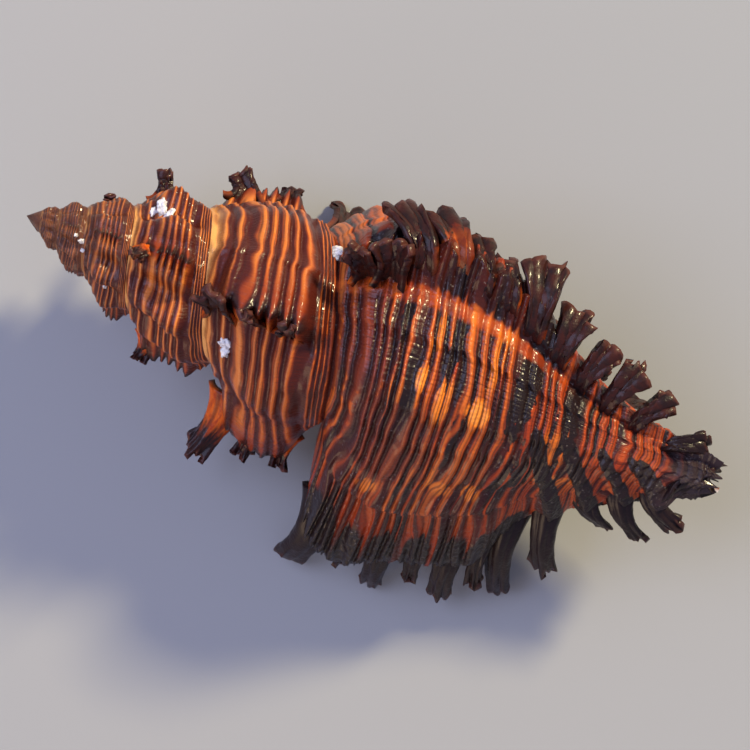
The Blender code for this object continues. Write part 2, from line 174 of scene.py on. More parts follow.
# The fronds: turn of the root, distances from the tip of the spire to the root and to the
# frond's own tip, where that tip is (towards the lip, up from the axis), width at the
# root and at the tip, in millimetres, and half the angle that its trough curls through
FRONDS = (
    # edge of the lip
    (0.050, 51.6, 48.4, 32.2, -19.4, 7.4, 6.0, 80),
    (0.044, 56.2, 55.6, 30.6, -14.0, 5.4, 3.0, 60),
    (0.044, 60.4, 61.0, 32.0, -19.4, 5.6, 4.0, 70),
    (0.044, 65.0, 65.6, 29.4, -14.0, 5.6, 3.0, 60),
    (0.044, 69.4, 70.2, 30.8, -17.0, 6.0, 4.0, 75),
    (0.044, 72.8, 74.2, 27.6, -13.6, 4.6, 3.0, 60),
    (0.044, 75.2, 78.2, 27.4, -19.4, 5.6, 4.4, 80),
    # lower side of the canal
    (0.060, 79.6, 83.0, 22.6, -12.6, 5.0, 4.2, 80),
    (0.080, 83.4, 88.8, 13.2, -5.6, 5.2, 3.0, 85),
    (0.090, 87.8, 93.4, 13.6, -5.4, 4.8, 3.2, 85),
    (0.100, 91.6, 97.6, 10.6, -2.2, 4.4, 3.4, 85),
    # fan at the end of the canal
    (0.100, 93.0, 98.6, 1.2, 4.0, 4.6, 6.4, 50),
    # upper row of the last whorl
    (0.418, 47.0, 43.6, -9.8, 19.4, 4.4, 3.6, 110),
    (0.418, 49.8, 48.4, -12.6, 20.0, 4.8, 4.2, 115),
    (0.430, 53.4, 46.6, -18.8, 13.6, 6.4, 5.4, 105),
    (0.436, 57.6, 52.4, -19.6, 12.8, 7.6, 6.8, 80),
    (0.430, 61.9, 57.9, -18.0, 13.4, 6.4, 4.8, 65),
    (0.430, 65.6, 62.3, -16.6, 13.4, 6.0, 4.6, 70),
    (0.424, 69.4, 67.8, -18.6, 13.0, 6.6, 6.4, 85),
    (0.424, 73.6, 74.6, -13.2, 11.8, 6.0, 5.6, 85),
    (0.418, 77.6, 80.4, -9.6, 11.0, 5.4, 5.6, 70),
    (0.418, 81.8, 85.2, -8.8, 9.2, 5.2, 5.4, 70),
    (0.418, 86.2, 90.6, -5.6, 7.8, 4.8, 5.0, 70),
    (0.400, 91.0, 97.6, -1.6, 5.4, 4.4, 4.8, 60),
    # hidden row under the shell
    (0.716, 42.0, 41.0, -16.6, -19.5, 6.4, 6.0, 90),
    (0.716, 47.6, 47.6, -17.0, -18.0, 5.8, 4.8, 70),
    (0.716, 53.4, 54.0, -16.4, -18.2, 5.8, 4.8, 70),
    (0.716, 59.2, 60.4, -15.0, -17.6, 5.8, 4.8, 70),
    (0.716, 65.0, 67.4, -14.2, -19.5, 5.8, 5.8, 85),
    (0.716, 71.0, 74.4, -10.6, -15.4, 5.6, 4.6, 75),
    (0.716, 77.0, 82.0, -6.8, -12.4, 4.8, 4.2, 75),
    (0.716, 84.0, 89.0, -4.4, -8.8, 4.2, 4.0, 75),
    # second whorl back, lip side
    (1.020, 34.6, 31.6, 23.6, -10.5, 6.4, 4.6, 75),
    (1.020, 39.0, 38.4, 21.0, -10.4, 5.4, 3.6, 60),
    (1.020, 43.2, 43.6, 20.6, -10.6, 5.2, 3.4, 60),
    # second whorl back, on the back and the far side
    (1.304, 30.8, 27.8, 1.6, 18.2, 4.4, 4.0, 110),
    (1.304, 35.4, 33.6, 3.2, 20.2, 4.4, 2.8, 60),
    (1.304, 39.8, 39.2, 2.8, 20.6, 4.4, 2.8, 70),
    (1.645, 27.8, 25.4, -15.2, -5.4, 5.6, 3.6, 85),
    (1.645, 33.4, 33.4, -15.6, -7.4, 5.2, 3.2, 70),
    # spines of the early whorls
    (2.050, 22.2, 21.3, 13.2, -4.0, 4.6, 2.8, 75),
    (2.360, 18.5, 17.4, 1.0, 11.2, 3.6, 2.4, 75),
    (2.670, 17.6, 16.4, -12.2, -4.0, 4.4, 2.6, 75),
    (3.700, 11.2, 10.6, -6.4, -2.4, 2.4, 1.6, 60),
)
CORDS = 36                   # spiral cords from the seam to the end of the canal
CORD_HEIGHT = 0.62           # millimetres, as are the other heights and widths without MM
SPIRE_FINER = 0.15           # the cords of the spire stand this much closer
CORDS_IN_SEAM = 13.0         # and closer still where the whorl dips into the seam
CORD_SWEEP = 1.4             # the cords bend towards the spire between these turns
SWEEP_TURNS = (0.118, 0.272)
FLANGE_SWEEP = 1.5           # and fan out again on the flange of the lip
FLANGE_TURNS = (0.045, 0.118)
FOOT_TURN = 0.402            # smooth glazed foot of the upper row of fronds
FOOT_WIDTH = 0.009
UPPER_ROW = (0.41, 0.45)     # the hollow fronds of the upper row stand between these turns
HOLLOW_DEPTH = 3.2           # below them the rib is scooped out, by this much
HOLLOW_WIDTH = 0.31          # and this share of the frond's width
LIP_ROWS_END = 0.20          # the rows of the lip and the canal stand before this turn
FINGERS_START = 79.0         # distance from the tip where the fronds of the canal begin
FINGER_OFFSET = 1.0          # their folds start this far beside them
FINGER_SLANT = 27.0          # and slant by this much in a turn
# The low steps where growth paused: turn, height in millimetres
GROWTH_CHECKS = ((0.118, 0.75), (0.170, 0.30), (0.232, 0.45), (0.272, 0.35), (0.355, 0.30),
                 (0.520, 0.40), (0.660, 0.40), (0.820, 0.40), (1.100, 0.40), (1.215, 0.40),
                 (1.400, 0.35), (1.560, 0.40), (1.740, 0.35), (1.900, 0.40), (2.150, 0.4))
CANAL_SLIT_ANGLE = -52.0
END_LOBES = 9                # the canal ends in worn lobes round its opening
END_LOBE_DEPTH = 2.6 * MM
END_OPENING = 4.0 * MM
NODULES = 10                 # worn nodules in each turn of the early whorls
NODULE_HEIGHT = 0.13         # as a share of the whorl's width
NODULE_TURNS = (1.6, 2.5)    # they grow in between these turns
# how the spiral cords stray sideways: size, waves a turn, waves a cord, start
STRAYS = ((0.24, 0.0, 1.3, 0.0), (0.11, 0.0, 2.9, 1.0), (0.14, 19.5, 0.31, 1.0),
          (0.06, 48.0, 0.7, 0.0), (0.03, 119.0, 1.9, 0.0))
# the fineness of each mesh: lines round the shell, rows of points along a line
BACK_LINES, BACK_ROWS = 300, 320
UNDER_LINES, UNDER_ROWS = 230, 300
SPIRE_LINES, SPIRE_ROWS = 900, 76


def ease(low, high, value):
    """A smooth step from 0 at low to 1 at high."""
    share = np.clip((value - low) / (high - low), 0.0, 1.0)
    return share * share * (3.0 - 2.0 * share)


def smooth_curve(points, at):
    """A smooth curve through a few points."""
    place = np.array([p[0] for p in points])
    value = np.array([p[1] for p in points])
    slope = np.gradient(value, place)
    i = np.clip(np.searchsorted(place, at) - 1, 0, len(place) - 2)
    step = place[i + 1] - place[i]
    s = np.clip((at - place[i]) / step, 0.0, 1.0)
    return ((1 + 2 * s) * (1 - s) ** 2 * value[i] + s * (1 - s) ** 2 * step * slope[i]
            + s * s * (3 - 2 * s) * value[i + 1] + s * s * (s - 1) * step * slope[i + 1])


def seam(turn):
    """Distance from the tip at which the whorl of this turn meets the one before it."""
    late = np.maximum(0.0, BACK - turn)
    return SEAM_ON_BACK * WHORL_GROWTH ** (BACK - turn) - SEAM_SLOWING * late ** 2


def spire_outline(distance):
    """Radius of the spire's outline at this distance from the tip."""
    return SPIRE_SLOPE * distance / (1.0 + (distance / SPIRE_ROUNDING) ** 1.6)


def seam_depth(distance):
    """Radius at the seam, as a share of the outline's."""
    return EARLY_SEAM_DEPTH + (SEAM_DEPTH - EARLY_SEAM_DEPTH) * ease(*SEAM_DEEPENS, distance)


def spire_radius(turn, share):
    """Radius of a spire whorl, share of the way between its two seams."""
    top, bottom = seam(turn), seam(turn - 1.0)
    in_seam = ((1 - share) * seam_depth(top) * spire_outline(top)
               + share * seam_depth(bottom) * spire_outline(bottom))
    bulge = np.maximum(np.sin(math.pi * np.clip(share, 0.0, 1.0) ** 1.1), 0.0) ** 0.8
    return in_seam + (WHORL_FULLNESS - seam_depth(top)) * spire_outline((top + bottom) / 2) * bulge


INNER_SEAM_SHARE = float((seam(0.0) - seam(1.0)) / (LENGTH - seam(1.0)))


def body_radius(turn, share):
    """Radius of the last whorl and the canal."""
    start = float(seam_depth(seam(turn)) * spire_outline(seam(turn)) / MM)
    outer = smooth_curve(((0.0, start),) + BACK_OUTLINE, share) * MM
    meet = float(spire_radius(1.0, 1.0)) / MM
    inner = np.where(share <= INNER_SEAM_SHARE, spire_radius(1.0, share / INNER_SEAM_SHARE),
                     smooth_curve(((INNER_SEAM_SHARE, meet),) + INNER_OUTLINE, share) * MM)
    early = ease(0.40, 1.0, turn)
    return (1 - early) * outer + early * inner


def rib_profile(offset, behind, front):
    """A thick rib: a long slope behind its crest, a steep front."""
    trail = np.maximum(0.0, 1.0 - offset / behind) ** 1.6
    lead = np.maximum(0.0, 1.0 + offset / front) ** 1.2
    return np.where(offset >= 0.0, trail, lead)


def along_varix(turn, share):
    """How high a thick rib stands along the whorl."""
    if turn < 0.2:
        rise = ease(-0.02, 0.05, share)
        fall = 0.25 * ease(0.10, 0.28, share) + 0.42 * ease(0.46, 0.57, share)
        return rise * (1.0 - fall - 0.22 * ease(0.60, 0.95, share))
    if turn < 1.0:
        return ease(-0.02, 0.10, share) * (1.0 - 0.75 * ease(0.30, 0.75, share))
    return ease(0.0, 0.25, share) * (1.0 - ease(0.75, 1.0, share))


def varix_height(turn, share, shift=0.0):
    """Height of the thick ribs in millimetres, and how near their crest a place is."""
    high = np.zeros_like(share)
    crest = np.zeros_like(share)
    for where, height, behind, front in VARICES:
        if (where < 1.0) != (turn < 1.0):
            continue
        shape = rib_profile(turn - where + shift, behind, front) * along_varix(where, share)
        high = np.maximum(high, height * shape)
        crest = np.maximum(crest, shape)
    return high, crest


def knob_height(turn, share):
    """Height of the knobs between the thick ribs, in millimetres."""
    high = np.zeros_like(share)
    for where, height, half in KNOBS:
        if (where < 1.0) == (turn < 1.0):
            place = 0.17 if where < 1.0 else 0.5
            spread = 0.13 if where < 1.0 else 0.25
            high += height * np.exp(-((turn - where) / half) ** 2 - ((share - place) / spread) ** 2)
    return high


def centre(distance):
    """How far the middle line bends aside and up towards the end of the canal."""
    lean = ease(62.0 * MM, 88.0 * MM, distance)
    return -CANAL_SIDESTEP * lean, CANAL_LIFT * ease(76.0 * MM, LENGTH, distance)


def around(turn, distance, radius):
    """Points at this growth angle, distance from the tip and radius, where the shell lies."""
    angle = math.radians(LIP_ANGLE) + 2.0 * math.pi * turn
    side, up = centre(distance)
    return np.stack((AXIS.x + distance + 0.0 * radius, AXIS.y + side - radius * np.cos(angle),
                     AXIS.z + up + radius * np.sin(angle)), axis=-1)


def wander(turn, cord):
    """How far the spiral cords stray sideways, as a share of their spacing."""
    stray = np.zeros_like(cord)
    for size, per_turn, per_cord, start in STRAYS:
        stray = stray + size * np.sin(per_turn * turn + per_cord * cord + start)
    for where, height in GROWTH_CHECKS:
        stray = stray + 0.30 * height * math.sin(57.0 * where) * math.tanh((turn - where) / 0.005)
    sweep = CORD_SWEEP * np.interp(turn, SWEEP_TURNS, (1.0, 0.0))
    return stray + sweep - FLANGE_SWEEP * np.interp(turn, FLANGE_TURNS, (1.0, 0.0))


def luck(number, salt):
    """A fixed random value from 0 to 1 for each whole number."""
    return np.mod(np.sin(number * 12.9898 + salt * 78.233) * 43758.5453, 1.0)


def cord_relief(turn, cord, rough):
    """Spiral cords with beads and scales where the growth lines cross them, in millimetres."""
    number = np.floor(cord + 0.5)
    ridge = (0.5 + 0.5 * np.cos(2 * math.pi * cord)) ** 0.7 - 0.5
    threads = 0.10 * (1.0 - 0.8 * rough) * np.cos(6 * math.pi * cord)
    strength = 0.75 + 0.5 * luck(number, 1.0)
    beads = 1.0 + (0.06 + 0.22 * rough) * np.sin(2 * math.pi * 88.0 * turn + 6.28 * luck(number, 2.0))
    lines = 0.03 * np.sin(2 * math.pi * 131.0 * turn + 1.7 * np.sin(0.9 * cord) + 6.0 * luck(number, 3.0))
    lines += 0.025 * np.sin(2 * math.pi * 213.0 * turn + 2.3 * np.sin(0.5 * cord))
    return CORD_HEIGHT * (ridge + threads) * strength * beads + lines


def growth_checks(turn, cord, on_body):
    """Low steps where growth paused: steep in front, running out behind."""
    high = np.zeros_like(cord)
    for where, height in GROWTH_CHECKS:
        if (where < 1.0) == on_body:
            high += height * rib_profile(turn - where + 0.004 * np.cos(2 * math.pi * cord), 0.035, 0.006)
    return high


def in_upper_row(where):
    """Whether the row of fronds at this turn is the hollow upper one."""
    return UPPER_ROW[0] < where < UPPER_ROW[1]


def is_finger(where, root_at):
    """Whether this frond is one of the long ones along the canal."""
    return where < LIP_ROWS_END and root_at > FINGERS_START


def fold_place(turn, where, root_at):
    """Distance from the tip, in millimetres, at which a frond's fold crosses this turn."""
    if is_finger(where, root_at):
        return root_at + (FINGER_OFFSET - FINGER_SLANT * (turn - where))
    return root_at


def buttresses(turn, distance, on_body):
    """Each frond springs from a rounded fold of the rib, which runs out behind it."""
    high = np.zeros_like(distance)
    for where, root_at, _, _, _, root_width, _, _ in FRONDS:
        if (where < 1.0) == on_body and abs(turn - where) < 0.20:
            finger = is_finger(where, root_at)
            size = 2.0 if finger else 1.0 if where < 1.0 else 0.6
            behind = 0.19 if finger else 0.075
            front = 0.005 if in_upper_row(where) else 0.020
            width = (0.26 if finger else 0.42) * root_width
            gap = (distance / MM - fold_place(turn, where, root_at)) / width
            high += size * rib_profile(turn - where, behind, front) * np.exp(-gap ** 2)
    return high


def dark_bands(turn, distance):
    """The black of each frond of the lip and the canal runs back along its fold."""
    dark = np.zeros_like(distance)
    for where, root_at, _, _, _, root_width, _, _ in FRONDS:
        if where < LIP_ROWS_END:
            finger = is_finger(where, root_at)
            back = ease(0.32, 0.26, turn) if finger else ease(where + 0.060, where + 0.01, turn)
            width = (0.21 if finger else 0.32) * root_width
            gap = (distance / MM - fold_place(turn, where, root_at)) / width
            dark = np.maximum(dark, back * np.exp(-gap ** 2))
    return dark


def hollows(turn, distance):
    """The steep front of the upper row is scooped out below each hollow frond."""
    deep = np.zeros_like(distance)
    for where, root_at, _, _, _, root_width, _, _ in FRONDS:
        if in_upper_row(where):
            gap = (distance / MM - root_at) / (HOLLOW_WIDTH * root_width)
            deep = np.maximum(deep, np.exp(-gap ** 2))
    return deep * ease(0.404, 0.420, turn) * ease(0.470, 0.448, turn)


def growth_steps(columns, low, high, sharpness):
    """Turns where the mesh has a line, closer together at the varices."""
    fine = np.linspace(low, high, 4001)
    density = np.ones_like(fine)
    for where, _, _, front in VARICES[:9]:
        gap = np.abs((fine - where + 0.5) % 1.0 - 0.5)
        density += sharpness * np.exp(-(gap / (1.3 * front)) ** 2)
    total = np.concatenate(([0.0], np.cumsum((density[1:] + density[:-1]) / 2)))
    return np.interp(np.linspace(0.0, total[-1], columns + 1), total, fine)


def whorl_line(turn, rows, on_body):
    """One line of the mesh across the whorl. Its rows follow the spiral cords."""
    fine = np.linspace(0.0, 1.0, 800)
    if on_body:
        top, bottom = seam(turn), LENGTH
        plain = body_radius(turn, fine)
    else:
        top, bottom = seam(turn), seam(turn - 1.0)
        plain = spire_radius(turn, fine)
    low = (varix_height(turn, fine)[0] + knob_height(turn, fine)) * MM
    along = np.hypot(np.diff((bottom - top) * fine), np.diff(plain + low))
    along = np.concatenate(([0.0], np.cumsum(along)))
    flare = 0.45 * ease(0.34, 0.05, turn)
    shares = np.interp(rows, (1 - flare) * fine + flare * along / along[-1], fine)
    distance = top + (bottom - top) * shares
    if on_body:
        lobe = 0.5 - 0.3 * math.cos(2 * math.pi * END_LOBES * turn) - 0.2 * math.cos(34.0 * turn)
        distance = distance - END_LOBE_DEPTH * lobe * ease(0.94, 1.0, shares)
    plain = np.interp(shares, fine, plain)
    cord = CORDS * rows
    if not on_body:
        finer = 1.0 + SPIRE_FINER * float(ease(1.0, 1.10, turn))
        cord = cord * INNER_SEAM_SHARE * finer + CORDS_IN_SEAM * ease(0.84, 1.0, rows) * (finer - 1.0)
    cord = cord + wander(turn, cord)
    number = np.floor(cord + 0.5)
    waviness = 0.002 if 0.3 < turn < 0.5 else 0.007 if on_body else 0.004
    flute = waviness * np.cos(2 * math.pi * cord) + 0.006 * (luck(number, 5.0) - 0.5)
    high, crest = varix_height(turn, shares, flute)
    knobs = knob_height(turn, shares)
    if on_body:
        scale = 0.45 + 0.55 * np.clip(plain / (17 * MM), 0.0, 1.0)
        scale = scale * (1.0 - 0.7 * ease(0.95, 1.0, shares))
    else:
        scale = np.full_like(rows, float(np.clip((bottom - top) / (18 * MM), 0.08, 1.0))) ** 1.4
    fades = ease(0.0, 0.03, rows) * (1.0 if on_body else ease(1.0, 0.94, rows))
    fades = fades * (1.0 - 0.7 * math.exp(-((turn - FOOT_TURN) / FOOT_WIDTH) ** 2))
    hollow = hollows(turn, distance) if on_body else np.zeros_like(rows)
    fades = fades * (1.0 - 0.8 * hollow)
    lumps = 0.25 * np.sin(23.0 * turn + 0.55 * cord) * np.sin(37.0 * turn - 0.35 * cord + 1.0)
    folds = buttresses(turn, distance, on_body)
    band = dark_bands(turn, distance) if on_body else np.zeros_like(rows)
    radius = plain + (high + knobs + folds - HOLLOW_DEPTH * hollow * high / 6.0) * MM
    radius = radius + (cord_relief(turn, cord, crest) * (1.0 + 0.9 * crest) + lumps
                       + growth_checks(turn, cord, on_body)) * scale * fades * MM
    if on_body:
        gap = (LIP_ANGLE + 360.0 * turn - CANAL_SLIT_ANGLE + 180.0) % 360.0 - 180.0
        slit = math.exp(-(gap / 9.0) ** 2) * ease(70 * MM, 76 * MM, distance)
        radius = radius * (1.0 - 0.72 * slit)
    else:
        radius[-1] = plain[-1]
    radius[0] = plain[0]
    nodules = NODULE_HEIGHT * ease(*NODULE_TURNS, turn) * (bottom - top) * np.sin(math.pi * rows)
    round_turn = math.sin(2 * math.pi * NODULES * turn)
    radius = radius + nodules * (round_turn + 0.5 * np.sin(3.0 * math.pi * rows + 9.0 * turn))
    return around(turn, distance, radius), cord, crest, knobs, distance / LENGTH, hollow, band


def grid_faces(index):
    """Four-cornered faces between the rows and columns of a grid of points."""
    corners = (index[:-1, :-1], index[1:, :-1], index[1:, 1:], index[:-1, 1:])
    return np.stack(corners, axis=-1).reshape(-1, 4).tolist()


def keep_values(mesh, **values):
    """Keeps a value for each point on the mesh, where the material reads it."""
    for name, value in values.items():
        layer = mesh.attributes.new(name, "FLOAT", "POINT")
        layer.data.foreach_set("value", np.asarray(value, dtype=np.float32).ravel())


def whorl_piece(name, turns, row_count, on_body):
    """A stretch of whorl as a mesh, with the values of its growth kept on its points."""
    rows = np.linspace(0.0, 1.0, row_count + 1)
    end_turn = FULL_TURN if on_body else float(TURNS)
    lines = [whorl_line(min(float(turn), end_turn), rows, on_body) for turn in turns]
    points = np.stack([line[0] for line in lines])
    index = np.arange(points.shape[0] * points.shape[1]).reshape(points.shape[:2])
    faces = grid_faces(index)
    pole = index.size
    if on_body:
        end = around(0.0, LENGTH - END_OPENING, np.zeros(1))[0]
        faces += [(int(index[i, -1]), int(index[i + 1, -1]), pole) for i in range(len(turns) - 1)]
    else:
        end = (AXIS.x + TIP, AXIS.y, AXIS.z)
        faces += [(int(index[i, 0]), pole, int(index[i + 1, 0]))
                  for i in range(len(turns) - 1) if turns[i] >= TURNS - 1]
        faces += [(int(index[-1, j]), pole, int(index[-1, j + 1])) for j in range(row_count)]
    mesh = bpy.data.meshes.new(name)
    mesh.from_pydata(points.reshape(-1, 3).tolist() + [tuple(map(float, end))], [], faces)
    cord, crest, knob, away, hollow, fold = (np.concatenate([line[k] for line in lines])
                                             for k in range(1, 7))
    turn = np.repeat(turns, row_count + 1)
    keep_values(mesh, cord=np.append(cord, cord[-1]), crest=np.append(crest, 0.0),
                knob=np.append(knob, 0.0), away=np.append(away, away[-1]), turn=np.append(turn, turn[-1]),
                hollow=np.append(hollow, 0.0), fold=np.append(fold, 0.0))
    return new_object(name, mesh)


last_whorl = whorl_piece("last_whorl", growth_steps(BACK_LINES, 0.0, 0.5, 4.0), BACK_ROWS, True)
under_side = whorl_piece("under_side", growth_steps(UNDER_LINES, 0.5, 1.0, 3.0), UNDER_ROWS, True)
spire = whorl_piece("spire", growth_steps(SPIRE_LINES, 1.0, float(TURNS), 1.5), SPIRE_ROWS, False)


def feed(tree, target, value):
    """Links a term to a node's socket, or writes a plain value on it."""
    if isinstance(value, Term):
        tree.links.new(value.socket, target)
    else:
        target.default_value = value


class Term:
    """A value inside a node tree, so that formulas can be written as formulas."""

    def __init__(self, tree, socket):
        self.tree = tree
        self.socket = socket
        self.vector = socket.type in ("VECTOR", "RGBA")

    def node(self, kind, operation, *values, scale=None):
        made = self.tree.nodes.new(kind)
        made.operation = operation
        targets = [made.inputs[k] for k in range(len(values))]
        if scale is not None:
            targets.append(made.inputs["Scale"])
            values = values + (scale,)
        for target, value in zip(targets, values):
            feed(self.tree, target, value)
        out = "Value" if kind == "ShaderNodeMath" or operation in ("DOT_PRODUCT", "LENGTH") else "Vector"
        return Term(self.tree, made.outputs[out])

    def math(self, operation, *values):
        return self.node("ShaderNodeMath", operation, self, *values)

    def vector_math(self, operation, *values):
        return self.node("ShaderNodeVectorMath", operation, self, *values)

    def __add__(self, other):
        if self.vector:
            return self.vector_math("ADD", other)
        return self.math("ADD", other)

    def __sub__(self, other):
        if self.vector:
            return self.vector_math("SUBTRACT", other)
        return self.math("SUBTRACT", other)

    def __rsub__(self, other):
        return self.node("ShaderNodeMath", "SUBTRACT", other, self)

    def __mul__(self, other):
        if self.vector:
            return self.node("ShaderNodeVectorMath", "SCALE", self, scale=other)
        if isinstance(other, Term) and other.vector:
            return other * self
        return self.math("MULTIPLY", other)

    def __truediv__(self, other):
        return self.math("DIVIDE", other)

    __radd__ = __add__
    __rmul__ = __mul__

    def sin(self):
        return self.math("SINE")

    def cos(self):
        return self.math("COSINE")

    def size(self):
        return self.math("ABSOLUTE")

    def power(self, exponent):
        return self.math("POWER", exponent)

    def smooth(self, low, high):
        made = self.tree.nodes.new("ShaderNodeMapRange")
        made.interpolation_type = "SMOOTHSTEP"
        self.tree.links.new(self.socket, made.inputs["Value"])
        made.inputs["From Min"].default_value = low
        made.inputs["From Max"].default_value = high
        return Term(self.tree, made.outputs["Result"])


def kept(tree, name):
    """A value kept on the mesh, read in a material."""
    made = tree.nodes.new("ShaderNodeAttribute")
    made.attribute_name = name
    return Term(tree, made.outputs["Fac"])


def colour_mix(tree, share, first, second):
    """The first colour at share 0, the second at share 1."""
    made = tree.nodes.new("ShaderNodeMix")
    made.data_type = "RGBA"
    for k, value in ((0, share), (6, first), (7, second)):
        feed(tree, made.inputs[k], value)
    return Term(tree, made.outputs[2])


def noise(tree, scale, detail=3.0, place=None):
    """Uneven values round 0.5, on the shell's own place unless another is given."""
    made = tree.nodes.new("ShaderNodeTexNoise")
    made.inputs["Scale"].default_value = scale
    made.inputs["Detail"].default_value = detail
    made.inputs["Roughness"].default_value = NOISE_ROUGHNESS
    if place is None:
        spot = tree.nodes.new("ShaderNodeTexCoord")
        tree.links.new(spot.outputs["Object"], made.inputs["Vector"])
    else:
        tree.links.new(place.socket, made.inputs["Vector"])
    return Term(tree, made.outputs["Fac"])


def pack(tree, x, y, z):
    """A vector from three numbers."""
    made = tree.nodes.new("ShaderNodeCombineXYZ")
    for target, value in zip(made.inputs, (x, y, z)):
        feed(tree, target, value)
    return Term(tree, made.outputs[0])


def split(tree, vector_socket):
    """The three numbers of a vector."""
    made = tree.nodes.new("ShaderNodeSeparateXYZ")
    tree.links.new(vector_socket, made.inputs[0])
    return [Term(tree, made.outputs[k]) for k in range(3)]


def bump(tree, surface, height, strength, distance):
    """Relief too fine for the mesh."""
    made = tree.nodes.new("ShaderNodeBump")
    made.inputs["Strength"].default_value = strength
    made.inputs["Distance"].default_value = distance
    tree.links.new(height.socket, made.inputs["Height"])
    tree.links.new(made.outputs["Normal"], surface.inputs["Normal"])


NOISE_ROUGHNESS = 0.55
BRIGHT_ORANGE = (0.54, 0.095, 0.006, 1.0)
RED_ORANGE = (0.27, 0.030, 0.006, 1.0)
TAN = (0.62, 0.21, 0.04, 1.0)
CREAM = (0.90, 0.46, 0.13, 1.0)
GLOW = (0.86, 0.245, 0.022, 1.0)
BROWN_RED = (0.20, 0.026, 0.007, 1.0)
MAROON = (0.060, 0.009, 0.005, 1.0)
BLACK_VIOLET = (0.013, 0.006, 0.006, 1.0)
DUSTY_GREY = (0.085, 0.036, 0.022, 1.0)
STAIN_BROWN = (0.10, 0.017, 0.011, 1.0)
STAIN_DARK = (0.028, 0.007, 0.006, 1.0)
CANAL_END = (0.030, 0.016, 0.018, 1.0)
SPECK_GREY = (0.35, 0.30, 0.28, 1.0)
# the middle and the half sizes of each patch, in millimetres, and its strength
BLACK_PATCHES = ((20.0, 5.6, 1.5, 7.0, 1.0), (9.5, 7.6, 0.9, 5.0, 1.0), (2.3, 7.0, 0.8, 5.5, 1.0),
                 (26.5, 3.5, 1.6, 6.0, 0.7), (13.0, -3.5, 0.8, 4.0, 0.6), (23.0, -5.0, 1.2, 5.0, 0.6))
BROWN_PATCHES = ((-2.2, 3.4, 5.2, 6.4, 0.85), (5.3, -6.7, 5.6, 5.0, 0.70), (-2.6, -13.6, 5.0, 6.0, 0.6),
                 (9.0, -20.0, 15.0, 4.0, 0.30))
LIGHT_PATCHES = ((6.2, 2.2, 1.2, 2.2, 0.75), (10.3, 0.7, 1.0, 3.0, 0.65), (14.8, 0.2, 1.5, 1.8, 0.8),
                 (4.4, -13.4, 1.3, 0.8, 0.5), (13.7, -10.6, 1.4, 0.9, 0.5), (17.7, -9.8, 1.3, 1.0, 0.6),
                 (6.9, 8.5, 0.8, 3.0, 0.45), (15.3, 7.5, 0.8, 4.0, 0.45), (28.9, -5.3, 3.2, 1.5, 0.7),
                 (26.6, -0.4, 2.2, 2.4, 0.35))

shell_lime, tree, surface = new_material("shell_lime")
cord, turn, crest, knob = (kept(tree, name) for name in ("cord", "turn", "crest", "knob"))
away, hollow, fold = (kept(tree, name) for name in ("away", "hollow", "fold"))


def one_number(number, salt):
    """A fixed random value for each whole number."""
    made = tree.nodes.new("ShaderNodeTexWhiteNoise")
    made.noise_dimensions = "1D"
    tree.links.new((number * 1.37 + salt).socket, made.inputs["W"])
    return Term(tree, made.outputs["Value"])


object_place = tree.nodes.new("ShaderNodeTexCoord").outputs["Object"]
place_x, place_y, place_z = split(tree, object_place)


def patch_share(patch_list, sharp):
    """How much a place on the back of the shell belongs to one of these patches."""
    total = None
    for spot_x, spot_y, half_x, half_y, strength in patch_list:
        far_x = ((place_x - spot_x * MM) * (1.0 / (half_x * MM))).power(2.0)
        far_y = ((place_y - spot_y * MM) * (1.0 / (half_y * MM))).power(2.0)
        far = far_x + far_y + (patches + wisps - 1.0) * 3.2
        share = far.smooth(1.0 + sharp, 1.0 - sharp) * strength
        total = share if total is None else total.math("MAXIMUM", share)
    return total * place_z.smooth(20 * MM, 25 * MM)


# which cord a place is on, and the uneven patterns that follow the cords
on_body = turn.smooth(1.02, 0.99)
number = (cord + 0.5).math("FLOOR")
across = (cord - number).size() * 2.0
third = cord * 3.0
across_third = (third - (third + 0.5).math("FLOOR")).size() * 2.0
fate = one_number(number, 0.0)
strips = noise(tree, 1.0, 3.0, pack(tree, turn * 14.0, number * 3.7, 0.0))
patches = noise(tree, 1.0, 2.0, pack(tree, turn * 7.0, cord * 0.35, 5.0))
wisps = noise(tree, 1.0, 3.0, pack(tree, turn * 60.0, cord * 1.5, 9.0))

# where the shell is darker or lighter than its stripes make it
blotch = patch_share(BLACK_PATCHES, 0.35)
brown = patch_share(BROWN_PATCHES, 0.25)
glow = patch_share(LIGHT_PATCHES, 0.85)
fold_dark = (fold + (wisps - 0.5) * 0.25).smooth(0.25, 0.42)
between = (1.0 - fold_dark) * away.smooth(0.70, 0.76)
shoulder = turn.smooth(0.425, 0.46) * turn.smooth(0.62, 0.55) * away.smooth(0.52, 0.44)
upper = turn.smooth(0.20, 0.30) * turn.smooth(1.00, 0.95)
darkness = crest.smooth(0.72, 1.0) * (0.9 - 0.8 * away.smooth(0.68, 0.76)) * (1.0 - 0.75 * upper)
darkness = (darkness + blotch).math("MINIMUM", 1.0)

